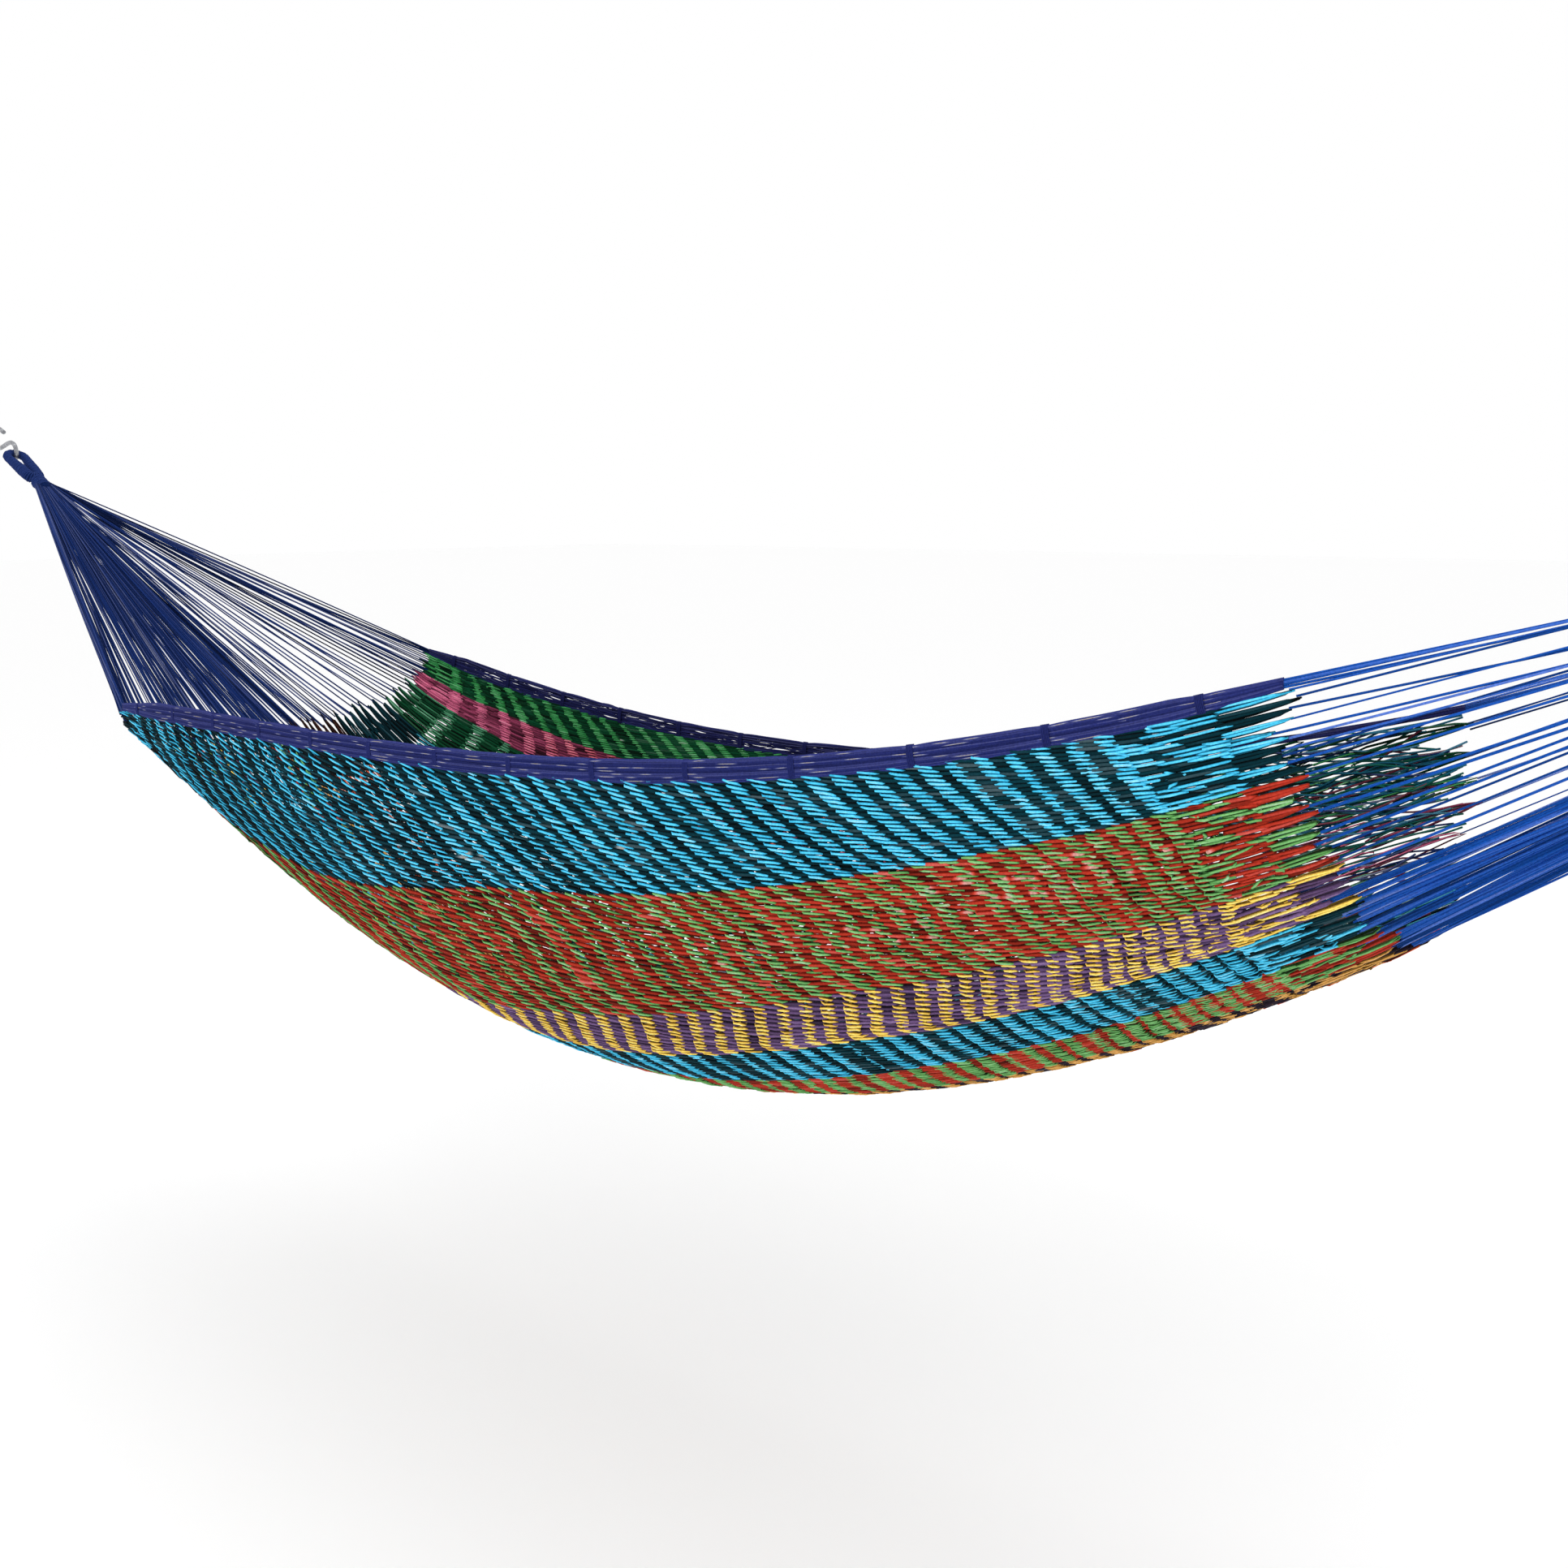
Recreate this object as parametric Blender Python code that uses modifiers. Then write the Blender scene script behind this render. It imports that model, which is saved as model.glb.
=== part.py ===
"""Woven string hammock with gathered ends, hung between two S-hooks.

Frame, in metres: +X runs along the hammock from the left hook to the right one, +Y
runs across it from the near edge to the far edge, +Z is up. The origin is the middle
of the line between the two hook seats, about which the whole hammock swings.
"""

import math

import bpy
from mathutils import Matrix, Vector

# Hanging line and ends
HALF_SPAN = 1.828        # origin to each hook seat
PULL_ANGLE = math.radians(30.2)  # the arms' pull below the horizontal
ROD_RADIUS = 0.0045      # S-hook rod
BEND_RADIUS = 0.0205     # S-hook bends, to the rod's centre
SHANK_LENGTH = 0.060     # between the centres of an S-hook's two bends
TIP_LENGTH = 0.016       # straight tip after each bend
ROPE_RADIUS = 0.0095     # wound end loop
LOOP_HALF_WIDTH = 0.018  # end loop's eye, to the rope's centre
LOOP_FOOT = 0.0750       # seat to the centre of the eye's narrow end
FOOT_HALF_WIDTH = 0.0102
SEAT_GAP = 0.0010        # hook rod to rope
THROAT_START = 0.0957    # seat to the binding at the throat
THROAT_LENGTH = 0.0590
THROAT_RADIUS = 0.0130
FLARE_START = 0.026      # along the binding
FLARE_RADIUS = 0.0230
FAN_APEX = 0.1050        # seat to the point that the arm cords fan out from
FAN_START = 0.0520       # apex to where the cord bundles leave the binding

# Bed of the hammock: its four corners, on the edge cords' centre lines
NEAR_LEFT = Vector((-1.027, -0.244, -0.437))
NEAR_RIGHT = Vector((1.044, -0.325, -0.253))
FAR_LEFT = Vector((-0.960, 0.358, -0.381))
FAR_RIGHT = Vector((1.027, 0.244, -0.330))
BELLY = 0.071            # edges bow outwards at the middle
NEAR_SAG = 0.0725
FAR_SAG = 0.136
NEAR_SKEW = 0.0525       # moves the near edge's lowest point to the right
DEPTH_END = 0.182        # net's depth below the edges, mean of the two ends
DEPTH_SLOPE = 0.0685     # deeper at the right end, shallower at the left
DEPTH_MIDDLE = 0.456
DEPTH_SKEW = 0.0595      # moves the deepest point to the left
BOW = 0.0395             # ends of the net bow outwards at the bottom
DRIFT = 0.19             # the bands crowd towards the far edge at the left end

EDGE_HEIGHT = 0.030      # flat band of cords along each edge
EDGE_THICKNESS = 0.008
EDGE_DROP = 0.0195       # edge cords' centre line down to where the net starts
NET_THICKNESS = 0.006
BAND_GAP = 0.0030        # between neighbouring colour bands
BAND_STEPS = 26          # faces along a band, or along both halves of a split one
EDGE_STEPS = 40
STRIPE_STEP = 0.09       # greatest height of a band's faces, in w

ARM_RADIUS = 0.003       # bundle of arm cords
ARMS_PER_SIDE = 5
ARM_END_GAP = 0.006

TIES_PER_EDGE = 14
TIE_REACH = 0.93         # outermost ties, in u
TIE_LENGTH = 0.012       # along the edge
TIE_WALL = 0.0020
TIE_CLEARANCE = 0.0006

# Colour bands across the net: name, start and end (w = -1 near edge .. 1 far edge),
# colour, and whether the band is halved at the middle of the bed
BANDS = (
    ("net_cyan_near", -1.00, -0.79, (0.024, 0.402, 0.680), False),
    ("net_red_near", -0.79, -0.565, (0.578, 0.031, 0.013), False),
    ("net_yellow_near", -0.565, -0.44, (0.831, 0.485, 0.045), True),
    ("net_cyan_low", -0.44, -0.30, (0.024, 0.402, 0.680), True),
    ("net_red_low", -0.30, -0.14, (0.578, 0.031, 0.013), False),
    ("net_ochre_bottom", -0.14, 0.04, (0.515, 0.292, 0.070), False),
    ("net_orange_bottom", 0.04, 0.24, (0.600, 0.120, 0.020), True),
    ("net_teal_far", 0.24, 0.44, (0.017, 0.205, 0.283), False),
    ("net_green_low", 0.44, 0.60, (0.010, 0.130, 0.032), False),
    ("net_crimson_far", 0.60, 0.77, (0.262, 0.017, 0.070), False),
    ("net_green_far", 0.77, 1.00, (0.010, 0.130, 0.032), False),
)
NAVY = (0.007, 0.018, 0.120)
INDIGO = (0.026, 0.021, 0.156)
BLUE = (0.013, 0.060, 0.205)
STEEL = (0.300, 0.300, 0.310)

SIDES = (("left", -1), ("right", 1))


def clear_scene():
    for obj in list(bpy.data.objects):
        bpy.data.objects.remove(obj, do_unlink=True)


def new_collection(name):
    collection = bpy.data.collections.new(name)
    bpy.context.scene.collection.children.link(collection)
    return collection


def material(name, colour, roughness, metallic=0.0):
    made = bpy.data.materials.new(name)
    made.use_nodes = True
    shader = made.node_tree.nodes["Principled BSDF"]
    shader.inputs["Base Color"].default_value = (*colour, 1.0)
    shader.inputs["Roughness"].default_value = roughness
    shader.inputs["Metallic"].default_value = metallic
    return made


def add_empty(collection, name):
    empty = bpy.data.objects.new(name, None)
    collection.objects.link(empty)
    return empty


def add_object(collection, parent, name, data, finish):
    data.materials.append(finish)
    obj = bpy.data.objects.new(name, data)
    obj.parent = parent
    collection.objects.link(obj)
    return obj


def tube(name, points, radius, closed=False, sides=2):
    """Round tube along a line of points, with flat caps unless it is closed."""
    curve = bpy.data.curves.new(name, "CURVE")
    curve.dimensions = "3D"
    curve.bevel_depth = radius
    curve.bevel_resolution = sides
    curve.use_fill_caps = not closed
    spline = curve.splines.new("POLY")
    spline.points.add(len(points) - 1)
    for spot, point in zip(spline.points, points):
        spot.co = (*point, 1.0)
    spline.use_cyclic_u = closed
    return curve


def arc(centre, radius, start, end, steps):
    """Points of a circular arc in a plane, as (x, y) pairs; angles in degrees."""
    found = []
    for i in range(steps + 1):
        angle = math.radians(start + (end - start) * i / steps)
        x = centre[0] + radius * math.cos(angle)
        found.append((x, centre[1] + radius * math.sin(angle)))
    return found


# ---- the surface of the hanging net -------------------------------------------------

def edge_point(u, far):
    """Centre line of an edge's cords; u = -1 at the left end .. 1 at the right."""
    t = (u + 1) / 2
    bump = 1 - u * u
    if far:
        return FAR_LEFT.lerp(FAR_RIGHT, t) + bump * Vector((0, BELLY, -FAR_SAG))
    drop = NEAR_SAG + NEAR_SKEW * u
    return NEAR_LEFT.lerp(NEAR_RIGHT, t) + bump * Vector((0, -BELLY, -drop))


def net_point(u, w):
    """Middle of the net's thickness; w = -1 at the near edge .. 1 at the far edge."""
    bump = 1 - u * u
    near = edge_point(u, False)
    far = edge_point(u, True)
    depth = DEPTH_END + DEPTH_SLOPE * u
    depth += (DEPTH_MIDDLE - DEPTH_END - DEPTH_SKEW * u) * bump - EDGE_DROP
    across = w + DRIFT * max(0.0, -u) * (1 - w * w)
    angle = across * math.pi / 2
    point = (near + far) / 2 + (far - near) / 2 * math.sin(angle)
    point.z -= EDGE_DROP + depth * math.cos(angle)
    point.x += BOW * math.cos(angle) * u
    return point


def grid(name, columns, rows, place):
    """Mesh sheet of columns x rows faces, whose points come from place(s, t) in 0..1."""
    points = [
        place(i / columns, j / rows) for i in range(columns + 1) for j in range(rows + 1)
    ]
    step = rows + 1
    faces = [
        (i * step + j, (i + 1) * step + j, (i + 1) * step + j + 1, i * step + j + 1)
        for i in range(columns)
        for j in range(rows)
    ]
    mesh = bpy.data.meshes.new(name)
    mesh.from_pydata(points, [], faces)
    mesh.shade_smooth()
    return mesh


def thicken(obj, thickness):
    shell = obj.modifiers.new("thickness", "SOLIDIFY")
    shell.thickness = thickness
    shell.offset = 0.0


# ---- sub-parts ----------------------------------------------------------------------

def pull_frame(side):
    """Axes at a hook seat: X along the pull towards the bed, Y across, Z upwards."""
    along = Vector((-side * math.cos(PULL_ANGLE), 0, -math.sin(PULL_ANGLE)))
    across = Vector((0, -side, 0))
    up = along.cross(across)
    frame = Matrix((along, across, up)).transposed().to_4x4()
    frame.translation = Vector((side * HALF_SPAN, 0, 0))
    return frame


def s_hook_line():
    """Rod's centre line in the hook's plane, from the tip in the loop to the other."""
    near = (-BEND_RADIUS, 0.0)
    far = (-BEND_RADIUS - SHANK_LENGTH, 0.0)
    line = [(near[0] - TIP_LENGTH, -BEND_RADIUS - 0.002)]
    line += arc(near, BEND_RADIUS, -90, 90, 14)
    for i in range(1, 7):
        t = i / 7
        swing = math.cos(t * math.pi)
        line.append((near[0] - t * SHANK_LENGTH, swing * BEND_RADIUS))
    line += arc(far, BEND_RADIUS, 270, 90, 14)
    line.append((far[0] + TIP_LENGTH, BEND_RADIUS + 0.002))
    return line


def make_hooks(collection, parent):
    finish = material("hook_steel", STEEL, 0.35, 1.0)
    for name, side in SIDES:
        points = [Vector((x, 0, z)) for x, z in s_hook_line()]
        curve = tube("hook_" + name, points, ROD_RADIUS)
        obj = add_object(collection, parent, "hook_" + name, curve, finish)
        obj.matrix_local = pull_frame(side)


def eye_line():
    """Closed centre line of an end loop: wide round the hook, narrow at its foot."""
    top = ROD_RADIUS + SEAT_GAP + ROPE_RADIUS
    head = arc((LOOP_HALF_WIDTH - top, 0), LOOP_HALF_WIDTH, 84, 276, 18)
    foot = arc((LOOP_FOOT, 0), FOOT_HALF_WIDTH, -84, 84, 10)
    legs = []
    for i in range(1, 6):
        t = i / 6
        x = head[-1][0] + (foot[0][0] - head[-1][0]) * t
        legs.append((x, head[-1][1] + (foot[0][1] - head[-1][1]) * t))
    return head + legs + foot + [(x, -y) for x, y in reversed(legs)]


def make_end_loops(collection, parent):
    finish = material("loop_blue", BLUE, 0.75)
    for name, side in SIDES:
        points = [Vector((x, y, 0)) for x, y in eye_line()]
        curve = tube("end_loop_" + name, points, ROPE_RADIUS, closed=True, sides=3)
        obj = add_object(collection, parent, "end_loop_" + name, curve, finish)
        obj.matrix_local = pull_frame(side)


def make_throat_bindings(collection, parent):
    finish = material("binding_blue", BLUE, 0.75)
    profile = (
        (0.0, THROAT_LENGTH),
        (FLARE_RADIUS, THROAT_LENGTH),
        (THROAT_RADIUS, FLARE_START),
        (THROAT_RADIUS, 0.003),
        (THROAT_RADIUS - 0.002, 0.0),
        (0.0, 0.0),
    )
    for name, side in SIDES:
        mesh = bpy.data.meshes.new("throat_binding_" + name)
        points = [(radius, 0, height) for radius, height in profile]
        edges = [(i, i + 1) for i in range(len(points) - 1)]
        mesh.from_pydata(points, edges, [])
        obj = add_object(collection, parent, "throat_binding_" + name, mesh, finish)
        turn = obj.modifiers.new("turn", "SCREW")
        turn.steps = 24
        turn.render_steps = 24
        turn.use_merge_vertices = True
        turn.merge_threshold = 0.0001
        turn.use_smooth_shade = True
        along = Matrix.Translation((THROAT_START, 0, 0)) @ Matrix.Rotation(
            math.pi / 2, 4, "Y"
        )
        obj.matrix_local = pull_frame(side) @ along


def spread(line, count):
    """Points at equal distances along a line of points, its ends included."""
    lengths = [0.0]
    for a, b in zip(line, line[1:]):
        lengths.append(lengths[-1] + (b - a).length)
    found = []
    for i in range(count):
        wanted = lengths[-1] * i / (count - 1)
        k = 1
        while k < len(line) - 1 and lengths[k] < wanted:
            k += 1
        share = (wanted - lengths[k - 1]) / (lengths[k] - lengths[k - 1])
        found.append(line[k - 1].lerp(line[k], share))
    return found


def make_arm_cords(collection, parent):
    finish = material("arm_navy", NAVY, 0.8)
    for name, side in SIDES:
        pull = pull_frame(side)
        along = pull.to_3x3() @ Vector((1, 0, 0))
        apex = pull @ Vector((FAN_APEX, 0, 0))
        end = [net_point(side, -1 + i / 20) for i in range(41)]
        end = [edge_point(side, False)] + end + [edge_point(side, True)]
        for i, target in enumerate(spread(end, ARMS_PER_SIDE)):
            reach = target - apex
            start = apex + reach * (FAN_START / reach.dot(along))
            stop = target - reach.normalized() * ARM_END_GAP
            title = f"arm_cords_{name}_{i + 1}"
            curve = tube(title, (start, start.lerp(stop, 0.5), stop), ARM_RADIUS)
            add_object(collection, parent, title, curve, finish)


def make_net(collection, parent):
    for band, low, high, colour, halved in BANDS:
        finish = material(band, colour, 0.85)
        middle = [net_point(0, low + (high - low) * i / 8) for i in range(9)]
        height = sum((b - a).length for a, b in zip(middle, middle[1:]))
        trim = BAND_GAP / 2 * (high - low) / height
        rows = math.ceil((high - low) / STRIPE_STEP)
        seam = BAND_GAP / 2 / NEAR_RIGHT.x
        spans = [("", -1.0, 1.0, BAND_STEPS)]
        if halved:
            spans = [("_left", -1.0, -seam, BAND_STEPS // 2)]
            spans.append(("_right", seam, 1.0, BAND_STEPS // 2))
        for end, first, last, columns in spans:

            def place(s, t, low=low + trim, high=high - trim, first=first, last=last):
                return net_point(first + (last - first) * s, low + (high - low) * t)

            mesh = grid(band + end, columns, rows, place)
            obj = add_object(collection, parent, band + end, mesh, finish)
            thicken(obj, NET_THICKNESS)


def make_edges(collection, parent):
    finish = material("edge_indigo", INDIGO, 0.8)
    for name, far in (("edge_cord_near", False), ("edge_cord_far", True)):
        def place(s, t, far=far):
            return edge_point(2 * s - 1, far) + Vector((0, 0, (t - 0.5) * EDGE_HEIGHT))

        mesh = grid(name, EDGE_STEPS, 2, place)
        obj = add_object(collection, parent, name, mesh, finish)
        thicken(obj, EDGE_THICKNESS)


def rounded_rectangle(width, height, corner):
    points = []
    for k, (sx, sy) in enumerate(((1, 1), (-1, 1), (-1, -1), (1, -1))):
        centre = (sx * (width / 2 - corner), sy * (height / 2 - corner))
        points += arc(centre, corner, 90 * k, 90 * k + 90, 3)
    return points


def tie_outline(name):
    """Flat ring, lying in its own XY plane, with a hole for the edge cords."""
    curve = bpy.data.curves.new(name, "CURVE")
    curve.dimensions = "2D"
    curve.fill_mode = "BOTH"
    curve.extrude = TIE_LENGTH / 2
    inner = (EDGE_HEIGHT + 2 * TIE_CLEARANCE, EDGE_THICKNESS + 2 * TIE_CLEARANCE)
    for grow, corner in ((0.0, 0.0010), (2 * TIE_WALL, 0.0030)):
        outline = rounded_rectangle(inner[0] + grow, inner[1] + grow, corner)
        spline = curve.splines.new("POLY")
        spline.points.add(len(outline) - 1)
        for spot, (x, y) in zip(spline.points, outline):
            spot.co = (x, y, 0, 1)
        spline.use_cyclic_u = True
    return curve


def make_ties(collection, parent):
    finish = material("tie_indigo", INDIGO, 0.8)
    for edge, far in (("near", False), ("far", True)):
        for i in range(TIES_PER_EDGE):
            u = TIE_REACH * (2 * i / (TIES_PER_EDGE - 1) - 1)
            along = (edge_point(u + 0.01, far) - edge_point(u - 0.01, far)).normalized()
            across = Vector((0, 0, 1)).cross(along).normalized()
            up = along.cross(across)
            place = Matrix((up, across, -along)).transposed().to_4x4()
            place.translation = edge_point(u, far)
            title = f"tie_{edge}_{i + 1:02d}"
            obj = add_object(collection, parent, title, tie_outline(title), finish)
            obj.matrix_local = place


def main():
    clear_scene()
    collection = new_collection("hammock")
    anchored = add_empty(collection, "anchored_hooks")
    swinging = add_empty(collection, "swinging_hammock")
    make_hooks(collection, anchored)
    make_end_loops(collection, swinging)
    make_throat_bindings(collection, swinging)
    make_arm_cords(collection, swinging)
    make_net(collection, swinging)
    make_edges(collection, swinging)
    make_ties(collection, swinging)


main()
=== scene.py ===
"""Looks of the woven string hammock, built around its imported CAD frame.

Apart from the two steel hooks, every piece is modelled as yarn or cord: the net is rows of
zigzag legs of yarn, the ends are fans of single cords, and the loops are wound. Frame, in
metres: +X runs from the left hook to the right one, +Y from the near edge to the far edge,
+Z up.
"""

import math

import bpy
import numpy as np
from mathutils import Matrix, Vector


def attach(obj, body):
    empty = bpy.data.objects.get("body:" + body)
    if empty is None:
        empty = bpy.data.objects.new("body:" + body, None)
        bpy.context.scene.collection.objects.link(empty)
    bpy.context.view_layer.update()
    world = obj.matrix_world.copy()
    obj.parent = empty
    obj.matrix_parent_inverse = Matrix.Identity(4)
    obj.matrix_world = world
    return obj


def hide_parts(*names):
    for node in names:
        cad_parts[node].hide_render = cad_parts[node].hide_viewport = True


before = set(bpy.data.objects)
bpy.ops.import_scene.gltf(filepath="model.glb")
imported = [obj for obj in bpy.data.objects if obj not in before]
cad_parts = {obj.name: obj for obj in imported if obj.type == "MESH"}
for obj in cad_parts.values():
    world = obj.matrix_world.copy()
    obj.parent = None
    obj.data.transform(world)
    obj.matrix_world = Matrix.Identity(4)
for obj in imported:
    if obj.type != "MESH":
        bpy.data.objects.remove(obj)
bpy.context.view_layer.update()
RANDOM = np.random.default_rng(11)

# ---- sizes shared with the CAD model ------------------------------------------------

HALF_SPAN = 1.828
PULL_ANGLE = math.radians(30.2)
ROD_RADIUS = 0.0045
SEAT_GAP = 0.0010
ROPE_RADIUS = 0.0095
LOOP_HALF_WIDTH = 0.018
LOOP_FOOT = 0.0750
FOOT_HALF_WIDTH = 0.0102
THROAT_START = 0.0957
THROAT_RADIUS = 0.0130
FAN_APEX = 0.1050

NEAR_LEFT = np.array((-1.027, -0.244, -0.437))
NEAR_RIGHT = np.array((1.044, -0.325, -0.253))
FAR_LEFT = np.array((-0.960, 0.358, -0.381))
FAR_RIGHT = np.array((1.027, 0.244, -0.330))
BELLY = 0.071
NEAR_SAG = 0.0725
FAR_SAG = 0.136
NEAR_SKEW = 0.0525
DEPTH_END = 0.182
DEPTH_SLOPE = 0.0685
DEPTH_MIDDLE = 0.456
DEPTH_SKEW = 0.0595
BOW = 0.0395
DRIFT = 0.19
EDGE_HEIGHT = 0.030
EDGE_THICKNESS = 0.008
EDGE_DROP = 0.0195
TIES_PER_EDGE = 14
TIE_REACH = 0.93
TIE_LENGTH = 0.012

SIDES = (("left", -1), ("right", 1))

# ---- sizes of the weave -------------------------------------------------------------

HALF_BED = 1.03          # metres for one unit of u
ROWS = 98                # rows of loops along the bed
LEG_PITCH = 0.0037       # between neighbouring legs, at the middle of the bed
YARN_RADIUS = 0.00180
LEG_LAYER = 0.0016       # a leg's height over or under the net's middle
LEG_SLANT = 0.85         # extra slant of the upper legs, in leg pitches at each end
TIP_LEGS = 4             # legs gathered in one tip at the ends of the bed
LOOSE_ROWS = {-1: 2, 1: 5}   # rows at each end whose two colours are mixed
SLACK_START = 68         # first row of the far bands' slack right end
SLACK_SPAN = 5           # rows that one loose row takes up there
SLACK_BANDS = 0.3        # bands that start above this w have that slack end
DARK_TIPS = (-0.2, 0.3)  # bands starting between these w have only filling at the left
BAND_OVERLAP = 0.003     # how far a band passes its neighbours' sides, in w
CORD_RADIUS = 0.00120    # one arm cord
CORE_INSET = 0.0024      # an end loop's core and its winding, inside its CAD rope
WINDING_INSET = 0.0022
WINDING_PITCH = 0.0031
WIRE_RADIUS = 0.0015     # thread of the windings on loops and throats
LOOSE_RADIUS = 0.00125   # one loose strand

# The bands' two yarns: one shows as separate bright dashes, the other as a soft filling
# Their shade paints shade on each yarn's hidden sides, and their crest paints a highlight along
# each leg's middle.
DASH = {"lap": 0.0072, "girth": 1.0, "shade": 0.66, "lift": 0.0008, "tone": 0.66, "crest_highlight": 0.22}
FILL = {"lap": 0.0095, "girth": 1.32, "shade": 0.30, "lift": -0.0004, "tone": 0.47, "crest_highlight": 0.03}


def srgb(red, green, blue):
    """Linear colour of an 8-bit screen colour."""
    return tuple((v / 255 / 12.92) if v < 11 else ((v / 255 + 0.055) / 1.055) ** 2.4
                 for v in (red, green, blue))


CYAN = srgb(58, 188, 232)
DARK_TEAL = srgb(4, 52, 62)
RED = srgb(184, 52, 34)
GREEN = srgb(98, 164, 88)
YELLOW = srgb(252, 202, 84)
PURPLE = srgb(116, 88, 134)
OCHRE = srgb(205, 150, 70)
BLACKISH = srgb(40, 28, 42)
ORANGE = srgb(200, 80, 36)
BROWN = srgb(62, 32, 26)
TEAL = srgb(38, 132, 152)
PALE_GREEN = srgb(52, 122, 84)
DEEP_GREEN = srgb(8, 74, 44)
LEAF = srgb(48, 142, 74)
CRIMSON = srgb(200, 92, 128)
MAGENTA = srgb(152, 62, 94)
VERMILION = srgb(206, 92, 74)

# Bands: name, start and end across the net (w), dash colour, filling colour
BANDS = (
    ("net_cyan_near", -1.00, -0.79, CYAN, DARK_TEAL),
    ("net_red_near", -0.79, -0.565, GREEN, RED),
    ("net_yellow_near", -0.565, -0.44, YELLOW, PURPLE),
    ("net_cyan_low", -0.44, -0.30, CYAN, DARK_TEAL),
    ("net_red_low", -0.30, -0.14, GREEN, RED),
    ("net_ochre_bottom", -0.14, 0.04, OCHRE, BLACKISH),
    ("net_orange_bottom", 0.04, 0.24, ORANGE, BROWN),
    ("net_teal_far", 0.24, 0.44, TEAL, DARK_TEAL),
    ("net_green_low", 0.44, 0.60, PALE_GREEN, DEEP_GREEN),
    ("net_crimson_far", 0.60, 0.77, CRIMSON, MAGENTA),
    ("net_green_far", 0.77, 1.00, LEAF, DEEP_GREEN),
)
# Slack strings at the far bands' right end: name, colour, how many, lowest w
LOOSE_STRANDS = (
    ("navy", srgb(22, 44, 96), 40, 0.20),
    ("crimson", srgb(104, 36, 56), 30, 0.20),
    ("green", srgb(20, 92, 80), 46, 0.30),
    ("teal", srgb(28, 100, 124), 50, 0.74),
)
# How far, in metres, the columns of loops have leaned along the bed at each w
LEAN_AT = (-1.0, -0.79, -0.72, -0.64, -0.565, -0.46, -0.44, -0.30, -0.14, 0.04, 0.60, 1.0)
LEAN = (0.0, 0.215, 0.275, 0.300, 0.350, 0.315, 0.330, 0.350, 0.330, 0.30, 0.22, 0.05)
LEAN_CENTRE = 0.21


# ---- the hanging surface ------------------------------------------------------------

def edge_points(u, far):
    """Centre line of an edge's cords, for an array of u = -1 left .. 1 right."""
    u = np.asarray(u, float)[..., None]
    t = (u + 1) / 2
    bump = 1 - u * u
    if far:
        line = FAR_LEFT * (1 - t) + FAR_RIGHT * t
        return line + bump * np.array((0.0, BELLY, -FAR_SAG))
    line = NEAR_LEFT * (1 - t) + NEAR_RIGHT * t
    drop = NEAR_SAG + NEAR_SKEW * u
    return line + bump * np.concatenate([0 * u, 0 * u - BELLY, -drop], -1)


def net_points(u, w):
    """Middle of the net's thickness; w = -1 near edge .. 1 far edge."""
    u, w = np.broadcast_arrays(np.asarray(u, float), np.asarray(w, float))
    bump = 1 - u * u
    near = edge_points(u, False)
    far = edge_points(u, True)
    depth = DEPTH_END + DEPTH_SLOPE * u
    depth = depth + (DEPTH_MIDDLE - DEPTH_END - DEPTH_SKEW * u) * bump - EDGE_DROP
    across = w + DRIFT * np.maximum(0.0, -u) * (1 - w * w)
    angle = across * math.pi / 2
    points = (near + far) / 2 + (far - near) / 2 * np.sin(angle)[..., None]
    points[..., 2] -= EDGE_DROP + depth * np.cos(angle)
    points[..., 0] += BOW * np.cos(angle) * u
    return points


def unit(vectors):
    return vectors / np.maximum(np.linalg.norm(vectors, axis=-1, keepdims=True), 1e-12)


def edge_width(u, far=False):
    """Height of an edge's band of strings, as a share of its full height."""
    near = np.interp(u, (-1, -0.85, 0.3, 0.9, 1), (0.40, 1.0, 0.94, 0.72, 0.30))
    slack = np.interp(u, (-1, -0.90, 0.3, 0.6, 0.75, 1), (0.30, 1.0, 0.90, 0.55, 0.26, 0.20))
    return np.where(far, slack, near)


def bed_points(u, w):
    """Where the weave lies: on the net's surface, with the bands eased along it."""
    ease = np.interp(u, (-1, -0.45, 0, 0.7, 1), (0.100, 0.087, 0.0, -0.040, -0.040))
    ease = ease * np.sin(math.pi * np.clip((w + 1) / 0.5, 0, 1))
    sink = np.interp(u, (-1, -0.50, -0.20, 0.05, 0.30, 0.50), (0.09, 0.15, 0.15, 0.09, 0.03, 0))
    ease = ease + sink * np.sin(math.pi * np.clip((w + 0.80) / 0.7, 0, 1))
    ease = ease - 0.17 * np.maximum(0.0, -u) * np.sin(math.pi * np.clip(w / 0.75 + 0.25, 0, 1))
    climb = np.interp(u, (-0.98, -0.80, -0.30, 0.20, 0.80), (0.0, 0.08, 0.15, 0.13, 0.0))
    ease = ease + climb * np.sin(math.pi * np.clip((w - 0.30) / 0.7, 0, 1))
    points = net_points(u, w + ease)
    rise = EDGE_DROP - 0.85 * edge_width(u, w > 0) * EDGE_HEIGHT / 2
    rise = rise * np.exp(-(1 - np.abs(w)) / 0.12)
    points[..., 2] += rise
    return points


def outward(u, w):
    """Direction away from the inside of the bed."""
    step = 0.002
    along = bed_points(u + step, w) - bed_points(u - step, w)
    across = bed_points(u, w + step) - bed_points(u, w - step)
    return -unit(np.cross(along, across))


def section_scale(u):
    """Height of the net's section at u, as a share of the one at the middle."""
    w = np.linspace(-1, 1, 41)
    stations = np.linspace(-1, 1, 41)
    rings = net_points(stations[:, None], w[None, :])
    height = np.linalg.norm(np.diff(rings, axis=1), axis=-1).sum(1)
    return np.interp(u, stations, height / height[20])


# ---- yarn geometry ------------------------------------------------------------------

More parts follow.
